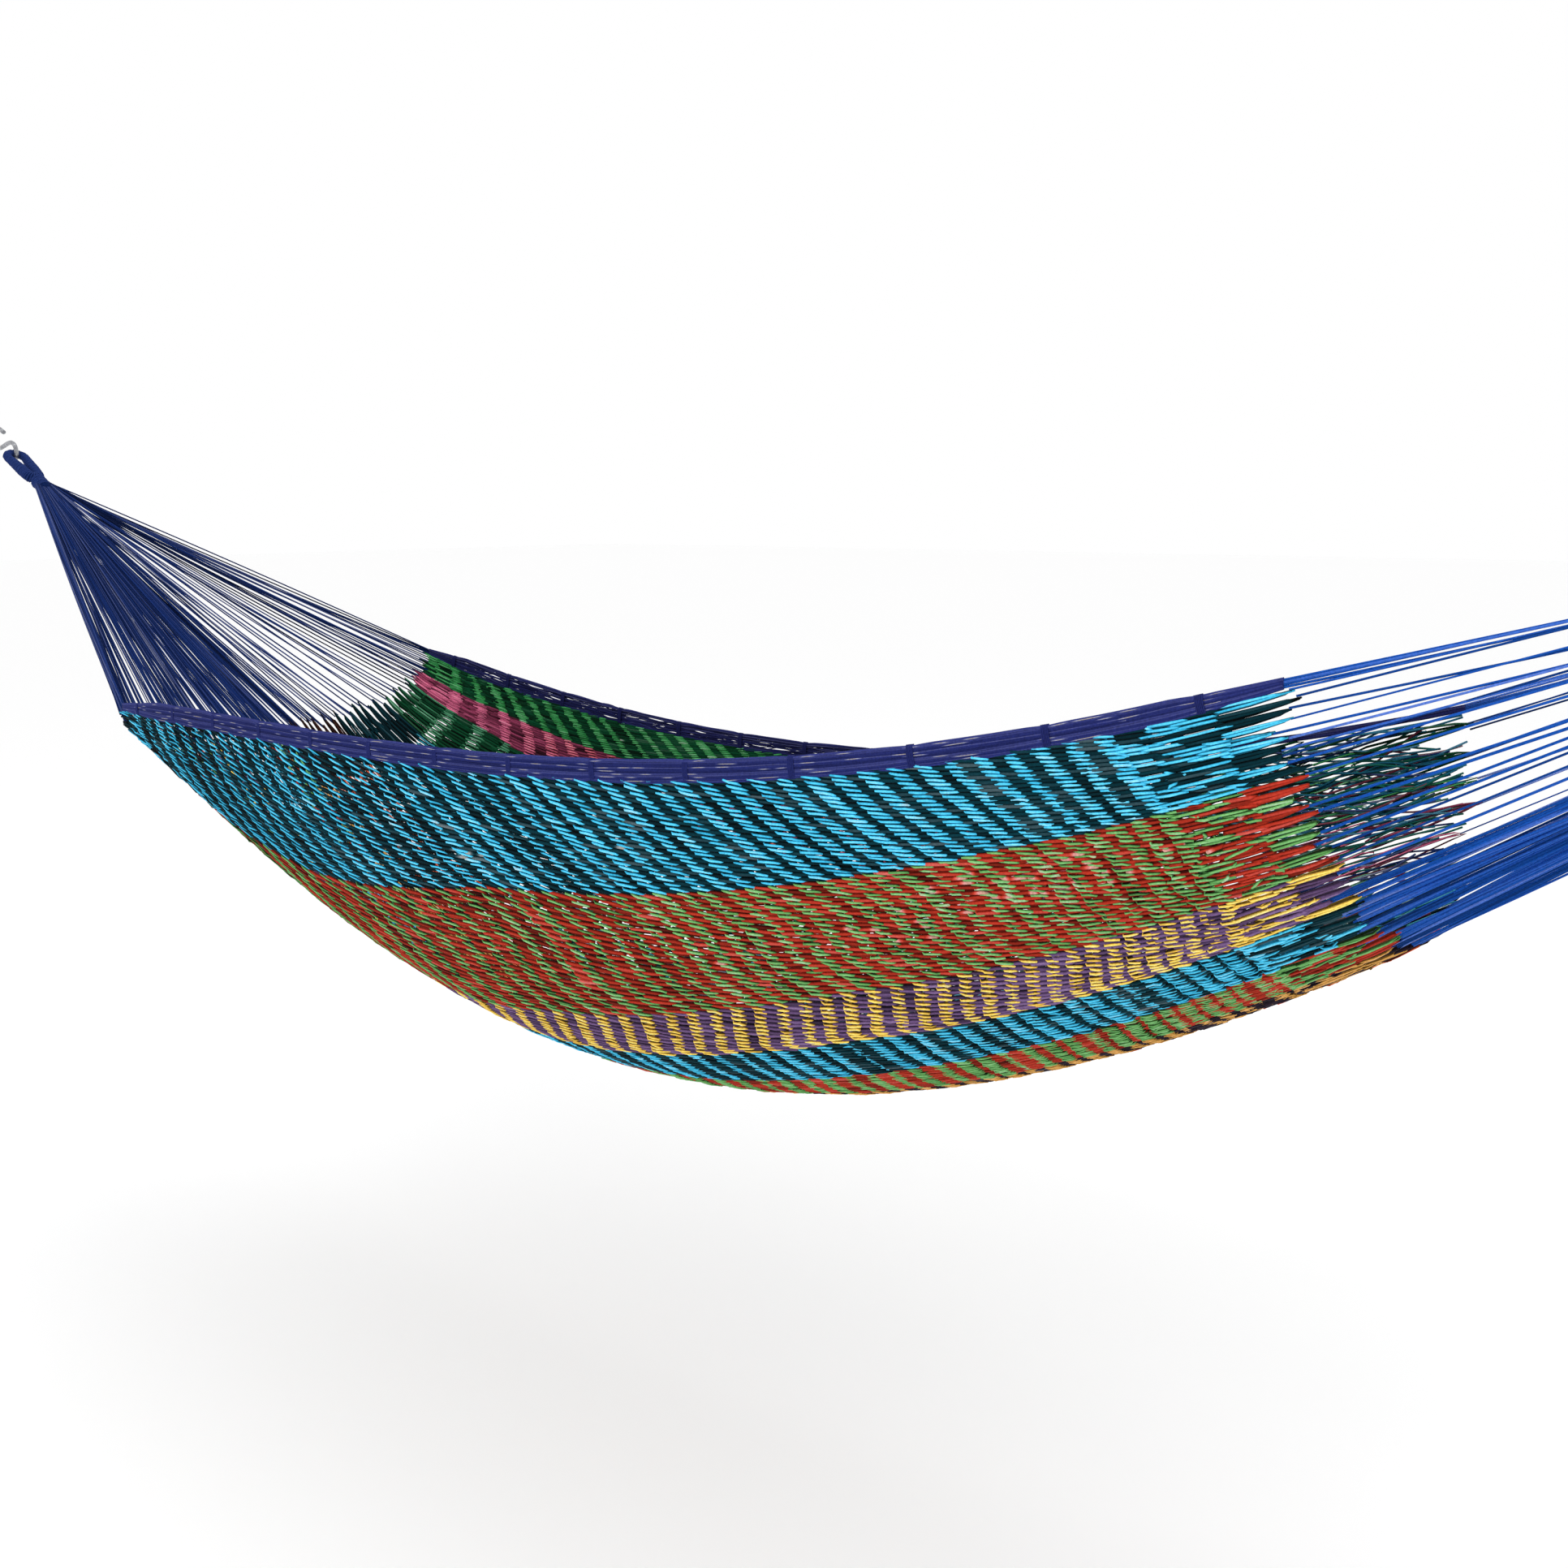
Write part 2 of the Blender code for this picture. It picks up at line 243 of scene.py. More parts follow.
class Strands:
    """Gathers many thin closed tubes and turns them into one mesh object."""

    def __init__(self, sides=6):
        self.sides = sides
        self.vertices = []
        self.quads = []
        self.caps = []
        self.uvs = []
        self.tones = []
        self.count = 0

    def add(self, points, radius, normals, tone=0.5, face=0.0, shade=0.0):
        """N lines of P points: points and normals are N x P x 3, the rest fit N x P.

        face is 1 or -1 where a strand shows its side along the normal or the other one,
        and shade is how much painted shade darkens it elsewhere, where its neighbours hide it.
        """
        lines, steps, _ = points.shape
        sides = self.sides
        radius = np.broadcast_to(radius, (lines, steps))
        tone = np.broadcast_to(tone, (lines, steps))
        along = unit(np.gradient(points, axis=1))
        across = unit(np.cross(along, normals))
        up = np.cross(across, along)
        angle = 2 * math.pi * np.arange(sides) / sides
        ring = (across[:, :, None] * np.cos(angle)[:, None]
                + up[:, :, None] * np.sin(angle)[:, None])
        ring = points[:, :, None] + ring * radius[:, :, None, None]
        self.vertices.append(ring.reshape(-1, 3))
        face = np.broadcast_to(face, (lines, steps))[:, :, None]
        # Painted shade between neighbouring legs: a ring's tone drops by shade on the sides where
        # lit is low.
        rise = np.sin(angle)
        lit = np.clip(face * rise, 0, 1) + (1 - np.abs(face)) * np.abs(rise) * 0.7
        self.tones.append((tone[:, :, None] - shade * (1 - lit)).reshape(-1))
        start = self.count + np.arange(lines)[:, None, None] * steps * sides
        start = start + np.arange(steps - 1)[None, :, None] * sides
        this = start + np.arange(sides)
        following = start + (np.arange(sides) + 1) % sides
        quads = np.stack([this, this + sides, following + sides, following], -1)
        self.quads.append(quads.reshape(-1, 4))
        length = np.linalg.norm(np.diff(points, axis=1), axis=-1)
        length = np.concatenate([np.zeros((lines, 1)), np.cumsum(length, 1)], 1)
        turn = np.arange(sides) / sides
        u0 = np.broadcast_to(turn, this.shape)
        u1 = u0 + 1 / sides
        v0 = np.broadcast_to(length[:, :-1, None], this.shape)
        v1 = np.broadcast_to(length[:, 1:, None], this.shape)
        corners = [np.stack(pair, -1) for pair in ((u0, v0), (u0, v1), (u1, v1), (u1, v0))]
        self.uvs.append(np.stack(corners, -2).reshape(-1, 2))
        first = self.count + np.arange(lines)[:, None] * steps * sides
        self.caps.append(first + np.arange(sides))
        last = first + (steps - 1) * sides
        self.caps.append(last + np.arange(sides)[::-1])
        self.count += lines * steps * sides

    def build(self, name, material):
        vertices = np.concatenate(self.vertices).astype(np.float32)
        quads = np.concatenate(self.quads)
        caps = np.concatenate(self.caps)
        uvs = np.concatenate(self.uvs + [np.zeros((caps.size, 2))]).astype(np.float32)
        corners = np.concatenate([quads.ravel(), caps.ravel()]).astype(np.int32)
        sizes = np.concatenate([np.full(len(quads), 4), np.full(len(caps), self.sides)])
        starts = np.concatenate([[0], np.cumsum(sizes)[:-1]]).astype(np.int32)
        mesh = bpy.data.meshes.new(name)
        mesh.vertices.add(len(vertices))
        mesh.vertices.foreach_set("co", vertices.ravel())
        mesh.loops.add(len(corners))
        mesh.loops.foreach_set("vertex_index", corners)
        mesh.polygons.add(len(sizes))
        mesh.polygons.foreach_set("loop_start", starts)
        mesh.update(calc_edges=True)
        mesh.uv_layers.new(name="yarn").data.foreach_set("uv", uvs.ravel())
        tone = mesh.attributes.new("tone", "FLOAT", "POINT")
        tone.data.foreach_set("value", np.concatenate(self.tones).astype(np.float32))
        mesh.shade_smooth()
        mesh.materials.append(material)
        obj = bpy.data.objects.new(name, mesh)
        bpy.context.scene.collection.objects.link(obj)
        return obj


def lean_at(w):
    return np.interp(w, LEAN_AT, LEAN) - LEAN_CENTRE


def row_starts():
    """u where each row starts.

    Rows shorten rightwards and the end ones are long. The dashes' rows, whose loops lie on
    top of their neighbours, are the shorter ones.
    """
    row = np.arange(ROWS)
    length = np.exp(-0.62 * (2 * row / ROWS - 1))
    length += 0.8 * np.exp(-row / 1.3) + 1.3 * np.exp(-(ROWS - 1 - row) / 1.8)
    length *= np.where(row % 2 == 0, 0.78, 1.22)
    return np.concatenate([[0.0], np.cumsum(length)]) / length.sum() * 2 - 1


BOUNDARIES = row_starts()
WAVES = RANDOM.uniform(0, 2 * math.pi, (5, 2))


def boundary(index, w):
    """u where row number index starts at w, with the columns' lean and waver."""
    start = BOUNDARIES[index]
    bump = 1 - start * start
    waver = np.zeros(np.broadcast(start, w).shape)
    for k, (one, other) in enumerate(WAVES):
        waver += np.sin((k + 1.5) * 4.1 * w + one + start * (3 + 2 * k)) / (k + 2)
        waver += 0.6 * np.sin(start * (9 + 7 * k) + other + 3 * w) / (k + 2)
    return start + (lean_at(w) + 0.006 * waver) / HALF_BED * bump


def mess(u):
    """How untidy the weave is: calm in the middle, loose towards the left end."""
    return 1 + 1.6 * np.clip((-u - 0.45) / 0.4, 0, 1) + 0.5 * np.clip((u - 0.75) / 0.2, 0, 1)


def loose_end(u, w):
    """How thin and tangled the far bands are towards their right end, from 0 to 1."""
    return np.clip((u - 0.50) / 0.25, 0, 1) * np.clip((w - 0.30) / 0.15, 0, 1)


def weave(style, rows, low, high, legs, gather=0, reach=0.0, shifts=(0.0, 0.0), span=1):
    """Zigzag lines of yarn, one for each row, as keywords for Strands.add.

    rows, low and high are arrays, one value a line. gather is -1 or 1 where the loops at
    the left or right end of the row are pulled together into one tip, which reaches
    further out than the row's end by reach, in u. shifts move the row's two ends, in u.
    span is how many rows' room each line takes up.
    """
    lines = len(rows)
    leg = np.arange(legs)
    to_right = leg % 2 == 0
    slant = np.where(to_right, LEG_SLANT, -LEG_SLANT)
    nudge = RANDOM.normal(0, 0.18, (lines, legs + 1))
    start = leg - slant + nudge[:, :-1]
    end = leg + 1 + slant + nudge[:, 1:]
    share = np.array((0.0, 0.16, 0.5, 0.84))
    offset = np.array((0.0, 0.30, 0.0, -0.30))
    place = start[..., None] * (1 - share) + end[..., None] * share + offset
    fraction = np.array((0.0, 0.13, 0.5, 0.87))
    along = np.where(to_right[:, None], fraction, 1 - fraction)
    along = np.broadcast_to(along, place.shape)
    height = np.where(to_right[:, None], 1.0, -1.0) * np.array((0.0, 0.9, 1.0, 0.9))
    height = np.broadcast_to(height, place.shape)
    # the last loop closes the line
    place = np.concatenate([place.reshape(lines, -1), end[:, -1:]], 1)
    last = np.full((lines, 1), (legs % 2) * 1.0)
    along = np.concatenate([along.reshape(lines, -1), last], 1)
    height = np.concatenate([height.reshape(lines, -1), 0 * last], 1)
    share = np.clip((place + 0.5) / (legs + 1), 0, 1)
    pull = 0.0
    if gather:
        pull = (along if gather > 0 else 1 - along) ** 2.4
        share = share + (0.5 - share) * 0.84 * pull
    w = low[:, None] + (high - low)[:, None] * share
    left = boundary(rows[:, None], w) + np.reshape(shifts[0], (-1, 1))
    right = boundary(rows[:, None] + span, w) + np.reshape(shifts[1], (-1, 1))
    loose = loose_end(left, w)
    untidy = mess(left) + 1.0 * loose
    lap = style["lap"] / 2 / HALF_BED * (0.7 + 0.3 * untidy)
    ragged = RANDOM.normal(0, 0.0013, w.shape) * untidy / HALF_BED
    u = left - lap + (right - left + 2 * lap) * along + ragged
    u = u + gather * np.reshape(reach, (-1, 1)) * pull
    size = section_scale(np.clip(u, -1, 1)) ** 0.5
    lift = height * LEG_LAYER * size + RANDOM.normal(0, 0.0004, w.shape) * untidy
    lift = lift + style["lift"] * np.sign(height) + RANDOM.normal(0, 0.0006, (lines, 1))
    normals = outward(u, w)
    points = bed_points(u, w) + normals * lift[..., None]
    taper = 1 - 0.40 * (2 * np.abs(along - 0.5)) ** 6
    radius = YARN_RADIUS * style["girth"] * size * taper * RANDOM.normal(1, 0.07, (lines, 1))
    radius = radius * (1 - 0.25 * loose)
    radius = radius * (1 + 0.35 * np.clip((-left - 0.5) / 0.3, 0, 1) * (w > 0.3))
    legs_tone = np.clip(RANDOM.normal(style["tone"], 0.12, (lines, legs)), 0.1, 1.0)
    tone = np.concatenate([np.repeat(legs_tone, 4, axis=1), legs_tone[:, -1:]], 1)
    # Painted highlight, brightest at the middle of each leg.
    tone = tone + style["crest_highlight"] * (1 - (2 * np.abs(along - 0.5)) ** 2)
    tone = tone - 0.10 * np.clip((-left - 0.35) / 0.3, 0, 1)
    # Painted highlights: pale specks at the loop ends, rare all over and denser in two patches.
    mottle = 0.0006 + 0.22 * np.exp(-((u - 0.75) / 0.13) ** 2 - ((w + 0.71) / 0.035) ** 2)
    mottle = mottle + 0.05 * np.exp(-((u + 0.1) / 0.12) ** 2 - ((w + 0.85) / 0.05) ** 2)
    highlight_speck = (RANDOM.random(w.shape) < mottle) & (np.abs(along - 0.5) > 0.3)
    tone = np.where(highlight_speck, 1.7, tone) + RANDOM.normal(0, 0.05, (lines, 1))
    return {"points": points, "radius": radius, "normals": normals, "tone": tone,
            "face": height, "shade": style["shade"]}


# ---- materials ----------------------------------------------------------------------

def add_node(tree, kind, **settings):
    node = tree.nodes.new(kind)
    for name, value in settings.items():
        setattr(node, name, value)
    return node


def mixed(colour, other, share):
    return tuple(a + (b - a) * share for a, b in zip(colour, other))


def new_material(name, roughness):
    material = bpy.data.materials.new(name)
    material.use_nodes = True
    shader = material.node_tree.nodes["Principled BSDF"]
    shader.inputs["Roughness"].default_value = roughness
    return material, material.node_tree, shader


def dye_and_painted_light(tree, tone, colour):
    """A yarn's colour at each tone: painted shade where it is hidden, painted highlights on its
    crests.
    """
    bright = tuple(min(1.0, 1.35 * v) for v in colour)
    ramp = add_node(tree, "ShaderNodeValToRGB")
    stops = ramp.color_ramp.elements
    # Stops darker than the colour are painted shade, those mixed with white are painted highlights,
    # and the top one is the cream of the highlight specks.
    stops[0].position = 0.0
    stops[0].color = (*mixed(colour, (0, 0, 0), 0.92), 1)
    stops[1].position = 0.25
    stops[1].color = (*colour, 1)
    for position, tint in ((0.12, mixed(colour, (0, 0, 0), 0.58)),
                           (0.40, mixed(bright, (1, 1, 1), 0.06)),
                           (0.58, mixed(bright, (1, 1, 1), 0.30)),
                           (0.85, mixed(colour, (0.62, 0.52, 0.38), 0.60))):
        stops.new(position).color = (*tint, 1)
    tree.links.new(tone, ramp.inputs[0])
    return ramp.outputs["Color"]


def yarn_material(name, colour, twist=0.0042, sheen=0.02, middle_colour=None):
    """Twisted soft yarn: strands' twist as bump, uneven dyeing, fuzz, painted shade, and painted
    highlights and specks.
    """
    material, tree, shader = new_material(name, 0.92)
    link = tree.links.new
    tone = add_node(tree, "ShaderNodeAttribute", attribute_name="tone")
    half = add_node(tree, "ShaderNodeMath", operation="MULTIPLY")
    half.inputs[1].default_value = 0.5
    link(tone.outputs["Fac"], half.inputs[0])
    base = dye_and_painted_light(tree, half.outputs[0], colour)
    place = add_node(tree, "ShaderNodeTexCoord")
    if middle_colour:
        split = add_node(tree, "ShaderNodeSeparateXYZ")
        link(place.outputs["Object"], split.inputs[0])
        span = add_node(tree, "ShaderNodeMapRange")
        span.inputs["From Min"].default_value = -1.0
        span.inputs["From Max"].default_value = 1.0
        link(split.outputs["X"], span.inputs["Value"])
        share = add_node(tree, "ShaderNodeValToRGB")
        share.color_ramp.elements[0].position = 0.12
        share.color_ramp.elements[1].position = 0.85
        share.color_ramp.elements[1].color = (0, 0, 0, 1)
        for position in (0.42, 0.62):
            share.color_ramp.elements.new(position).color = (1, 1, 1, 1)
        link(span.outputs[0], share.inputs[0])
        blend = add_node(tree, "ShaderNodeMix", data_type="RGBA")
        link(share.outputs["Color"], blend.inputs["Factor"])
        link(base, blend.inputs["A"])
        link(dye_and_painted_light(tree, half.outputs[0], middle_colour), blend.inputs["B"])
        base = blend.outputs["Result"]
    fuzz = add_node(tree, "ShaderNodeTexNoise")
    fuzz.inputs["Scale"].default_value = 420.0
    fuzz.inputs["Detail"].default_value = 3.0
    link(place.outputs["Object"], fuzz.inputs["Vector"])
    mottle = add_node(tree, "ShaderNodeMix", data_type="RGBA", blend_type="MULTIPLY")
    shade = add_node(tree, "ShaderNodeMapRange")
    shade.inputs["From Min"].default_value = 0.3
    shade.inputs["From Max"].default_value = 0.7
    shade.inputs["To Min"].default_value = 0.78
    shade.inputs["To Max"].default_value = 1.15
    link(fuzz.outputs["Fac"], shade.inputs["Value"])
    mottle.inputs["Factor"].default_value = 1.0
    link(base, mottle.inputs["A"])
    link(shade.outputs[0], mottle.inputs["B"])
    link(mottle.outputs["Result"], shader.inputs["Base Color"])
    twist_bump(tree, shader, twist, fuzz)
    shader.inputs["Sheen Weight"].default_value = sheen
    shader.inputs["Sheen Roughness"].default_value = 0.4
    shader.inputs["Specular IOR Level"].default_value = 0.07
    return material


def twist_bump(tree, shader, twist, fuzz):
    """Bump of a yarn's plies, which turn once round it every twist metres."""
    link = tree.links.new
    uv = add_node(tree, "ShaderNodeUVMap", uv_map="yarn")
    split = add_node(tree, "ShaderNodeSeparateXYZ")
    link(uv.outputs[0], split.inputs[0])
    along = add_node(tree, "ShaderNodeMath", operation="MULTIPLY_ADD")
    along.inputs[1].default_value = 2 * math.pi / twist
    around = add_node(tree, "ShaderNodeMath", operation="MULTIPLY")
    around.inputs[1].default_value = 4 * math.pi
    link(split.outputs["Y"], along.inputs[0])
    link(split.outputs["X"], around.inputs[0])
    link(around.outputs[0], along.inputs[2])
    wave = add_node(tree, "ShaderNodeMath", operation="SINE")
    link(along.outputs[0], wave.inputs[0])
    height = add_node(tree, "ShaderNodeMath", operation="MULTIPLY_ADD")
    height.inputs[1].default_value = 0.35
    link(wave.outputs[0], height.inputs[0])
    link(fuzz.outputs["Fac"], height.inputs[2])
    bump = add_node(tree, "ShaderNodeBump")
    bump.inputs["Strength"].default_value = 0.6
    bump.inputs["Distance"].default_value = 0.0004
    link(height.outputs[0], bump.inputs["Height"])
    link(bump.outputs[0], shader.inputs["Normal"])


def steel_material():
    """Galvanised steel rod: dull spangle in its colour, gloss and bump."""
    material, tree, shader = new_material("hook_galvanised", 0.38)
    link = tree.links.new
    shader.inputs["Metallic"].default_value = 1.0
    place = add_node(tree, "ShaderNodeTexCoord")
    spangle = add_node(tree, "ShaderNodeTexNoise")
    spangle.inputs["Scale"].default_value = 160.0
    spangle.inputs["Detail"].default_value = 5.0
    link(place.outputs["Object"], spangle.inputs["Vector"])
    ramp = add_node(tree, "ShaderNodeValToRGB")
    ramp.color_ramp.elements[0].position = 0.3
    ramp.color_ramp.elements[0].color = (*srgb(118, 119, 124), 1)
    ramp.color_ramp.elements[1].position = 0.7
    ramp.color_ramp.elements[1].color = (*srgb(186, 188, 192), 1)
    link(spangle.outputs["Fac"], ramp.inputs[0])
    link(ramp.outputs["Color"], shader.inputs["Base Color"])
    gloss = add_node(tree, "ShaderNodeMapRange")
    gloss.inputs["To Min"].default_value = 0.28
    gloss.inputs["To Max"].default_value = 0.52
    link(spangle.outputs["Fac"], gloss.inputs["Value"])
    link(gloss.outputs[0], shader.inputs["Roughness"])
    bump = add_node(tree, "ShaderNodeBump")
    bump.inputs["Strength"].default_value = 0.25
    bump.inputs["Distance"].default_value = 0.0003
    link(spangle.outputs["Fac"], bump.inputs["Height"])
    link(bump.outputs[0], shader.inputs["Normal"])
    return material


# ---- the net ------------------------------------------------------------------------

def nodes_named(prefix):
    return sorted(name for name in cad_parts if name.startswith(prefix))


def add_piece(strands, name, material):
    """Builds the strands as one piece that rides on the hammock."""
    piece = strands.build(name, material)
    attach(piece, "hammock")
    return piece


def make_band(low, high, groups, tips):
    """Both yarns of one band. Adds the places of its tips to tips."""
    styles = (DASH, FILL)
    yarns = [Strands(), Strands()]
    slack = low > SLACK_BANDS
    last = ROWS - LOOSE_ROWS[1]
    inner = np.arange(LOOSE_ROWS[-1], SLACK_START if slack else last)
    wide = np.arange(SLACK_START, last, SLACK_SPAN)
    for colour, style in enumerate(styles):
        rows = inner[inner % 2 == colour]
        yarns[colour].add(**weave(style, rows, *full_width(rows, low, high), groups * TIP_LEGS))
        rows = wide[colour::2]
        if slack:
            yarns[colour].add(**weave(style, rows, *full_width(rows, low, high), groups * 2,
                                      span=SLACK_SPAN))
    make_band_end(yarns, styles, low, high, groups, -1, tips["left"])
    make_band_end(yarns, styles, low, high, max(2, groups // 3) if slack else groups, 1,
                  tips["right"])
    return yarns


def full_width(rows, low, high):
    """The band's two sides for each row, a little past its neighbours' sides."""
    return np.full(len(rows), low - BAND_OVERLAP), np.full(len(rows), high + BAND_OVERLAP)


def make_band_end(yarns, styles, low, high, groups, side, tips):
    """The rows at one end of a band: loops in mixed colours, the outermost ones in tips."""
    slack = side > 0 and low > SLACK_BANDS
    count = LOOSE_ROWS[side]
    reach = RANDOM.normal(0, 0.009, groups)
    jitter = RANDOM.normal(0, 0.014, (count + 1, groups * 2))
    jitter[[0, 1, -1]] = 0.0
    for k in range(1 if slack else count):
        row = k if side < 0 else ROWS - 1 - k
        span = 1
        if slack:
            row = ROWS - count
            span = count
        parts = groups if k == 0 else groups * 2
        marks = np.linspace(low, high, parts + 1)
        colours = (np.arange(parts) // (1 + (k > 0)) + k + (RANDOM.random(parts) < 0.35)) % 2
        if side < 0 and DARK_TIPS[0] < low < DARK_TIPS[1]:
            colours[:] = 1
        for colour, style in enumerate(styles):
            chosen = np.flatnonzero(colours == colour)
            if not len(chosen):
                continue
            rows = np.full(len(chosen), row)
            ends = (marks[chosen], marks[chosen + 1])
            pulled = (side, reach[chosen]) if k == 0 else (0, 0.0)
            shifts = (0.0, 0.0)
            if k:
                shifts = (jitter[k][chosen], jitter[k + 1][chosen])
                shifts = shifts if side < 0 else shifts[::-1]
            legs = TIP_LEGS if k == 0 else TIP_LEGS // 2
            yarns[colour].add(**weave(style, rows, *ends, legs, *pulled, shifts, span))
    marks = np.linspace(low, high, groups + 1)
    tips.extend(zip((marks[:-1] + marks[1:]) / 2, side * (1 + reach + 0.004)))


def make_net():
    """Weaves every band in its two yarn colours, and returns the tips for the arm cords."""
    tips = {"left": [], "right": []}
    w = np.linspace(-1, 1, 201)
    middle = net_points(np.zeros_like(w), w)
    height = np.concatenate([[0], np.cumsum(np.linalg.norm(np.diff(middle, axis=0), axis=1))])
    narrowing = float(section_scale(w).mean())
    for name, low, high, dash, fill in BANDS:
        span = np.interp((low, high), w, height)
        groups = max(2, round((span[1] - span[0]) / LEG_PITCH / TIP_LEGS))
        yarns = make_band(low, high, groups, tips)
        for strands, tint, label in zip(yarns, (dash, fill), ("dashes", "filling")):
            title = name + "_" + label
            blush = VERMILION if tint == CRIMSON else None
            material = yarn_material(title, tint, middle_colour=blush)
            add_piece(strands, title, material)
        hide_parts(*nodes_named(name))
    return tips


# ---- arms, loops and edges ----------------------------------------------------------

def pull_frame(side):
    """Axes at a hook seat: X along the pull towards the bed, Y across, Z upwards."""
    along = Vector((-side * math.cos(PULL_ANGLE), 0, -math.sin(PULL_ANGLE)))
    across = Vector((0, -side, 0))
    up = along.cross(across)
    axes = Matrix((along, across, up)).transposed().to_4x4()
    axes.translation = Vector((side * HALF_SPAN, 0, 0))
    return axes


def to_world(points, side):
    axes = np.array(pull_frame(side))
    return points @ axes[:3, :3].T + axes[:3, 3]


def disk(count, radius):
    """Points spread evenly over a disk."""
    k = np.arange(count) + 0.5
    angle = k * math.pi * (3 - math.sqrt(5))
    reach = radius * np.sqrt(k / count)
    return np.stack([reach * np.cos(angle), reach * np.sin(angle)], 1)


def cords_at(w, side):
    """How many arm cords hold a tip of the net at w."""
    if side < 0:
        marks = (-1, -0.70, -0.65, -0.20, -0.10, 0.10, 0.35, 1)
        cords = np.interp(w, marks, (5, 4.5, 6, 6, 3.4, 2.8, 1.4, 1.0))
    else:
        marks = (-1, -0.82, -0.78, -0.50, -0.45, 0.15, 0.20, 0.80, 0.86, 1)
        cords = np.interp(w, marks, (1.0, 0.9, 0.5, 0.5, 5, 4.5, 0.8, 0.8, 4, 4))
    return int(cords + RANDOM.random())


def make_arms(tips):
    """Single cords from each throat to the tips of the net and the ends of the edges."""
    for name, side in SIDES:
        ends = []
        for w, u in tips[name]:
            for _ in range(cords_at(w, side)):
                spread = RANDOM.normal(0, 0.004, 2)
                ends.append(bed_points(u - side * abs(spread[0]), w + spread[1]))
        for far in (False, True):
            for k in range(4):
                lift = np.array((0, 0, (k - 1.5) * 0.0022))
                ends.append(edge_points(side * 0.999, far) + lift)
        ends = np.array(ends)
        count = len(ends)
        order = np.argsort(ends[:, 1])
        spots = disk(count, 0.0110)
        spots = spots[np.argsort(spots[:, 0])]
        starts = np.zeros((count, 3))
        starts[order, 1:] = -side * spots
        starts[:, 0] = FAN_APEX - 0.002
        starts = to_world(starts, side)
        t = np.linspace(0, 1, 9)[None, :, None]
        lines = starts[:, None] * (1 - t) + ends[:, None] * t
        slack = np.abs(RANDOM.normal(0, 0.0035, (count, 1, 1))) * np.array((0, 0, -1.0))
        sway = RANDOM.normal(0, 0.0025, (count, 1, 3))
        lines = lines + (slack + sway) * np.sin(math.pi * t)
        normals = np.broadcast_to((0.0, 0.0, 1.0), lines.shape)
        radius = CORD_RADIUS * RANDOM.normal(1, 0.10, (count, 1))
        tone = RANDOM.normal(0.46, 0.17, (count, 1))
        # Painted highlights: a few cords, more of them on the right, are paler all along.
        tone = tone + 0.45 * (RANDOM.random((count, 1)) < (0.02 if side < 0 else 0.08))
        tone = np.clip(tone, 0.14, 1.0)
        strands = Strands()
        strands.add(lines, radius, normals, tone)
        colour = srgb(20, 46, 108) if side < 0 else srgb(22, 84, 178)
        finish = yarn_material("arm_" + name, colour, twist=0.0035)
        piece = add_piece(strands, "arm_cords_" + name, finish)
        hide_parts(*nodes_named("arm_cords_" + name))


def make_loose_strands():
    """Slack strings that cross one another at the far bands' right end."""
    for name, colour, count, first_w in LOOSE_STRANDS:
        t = np.linspace(0, 1, 15)
        low = RANDOM.uniform(first_w, 0.97, (count, 1))
        swing = RANDOM.normal(0, 0.05, (count, 1))
        w = low + swing * t + 0.018 * np.sin(RANDOM.uniform(4, 11, (count, 1)) * t + low * 40)
        first = RANDOM.uniform(0.52, 0.84, (count, 1))
        u = first + (RANDOM.uniform(0.93, 1.0, (count, 1)) - first) * t
        w = np.clip(w, 0.1, 0.99)
        lift = RANDOM.normal(0, 0.003, (count, 1))[..., None]
        points = bed_points(u, w) + outward(u, w) * lift
        strands = Strands()
        tone = np.clip(RANDOM.normal(0.55, 0.2, (count, 1)), 0.15, 1.0)
        strands.add(points, LOOSE_RADIUS, outward(u, w), tone)
        title = "loose_strands_" + name
        add_piece(strands, title, yarn_material(title, colour))


def arc(centre, radius, start, end, steps):
    angle = np.radians(np.linspace(start, end, steps + 1))
    return np.stack([centre + radius * np.cos(angle), radius * np.sin(angle)], 1)


def eye_line():
    """Closed centre line of an end loop: wide round the hook, narrow at its foot."""
    top = ROD_RADIUS + SEAT_GAP + ROPE_RADIUS
    head = arc(LOOP_HALF_WIDTH - top, LOOP_HALF_WIDTH, 84, 276, 40)
    foot = arc(LOOP_FOOT, FOOT_HALF_WIDTH, -84, 84, 20)
    share = np.linspace(0, 1, 22)[1:-1, None]
    leg = head[-1] * (1 - share) + foot[0] * share
    back = leg[::-1] * (1, -1)
    line = np.concatenate([head, leg, foot, back])
    return np.column_stack([line, np.zeros(len(line))])


def spread_along(line, count):
    """Points at equal distances along a line."""
    steps = np.linalg.norm(np.diff(line[:, :3], axis=0), axis=1)
    length = np.concatenate([[0], np.cumsum(steps)])
    wanted = np.linspace(0, length[-1], count)
    columns = [np.interp(wanted, length, column) for column in line.T]
    return np.stack(columns, 1), length[-1]


def rope_radius(line):
    """Radius of an end loop's rope, which swells from the seat towards the throat."""
    return ROPE_RADIUS + 0.0028 * np.clip((line[:, 0] - 0.008) / 0.045, 0, 1)


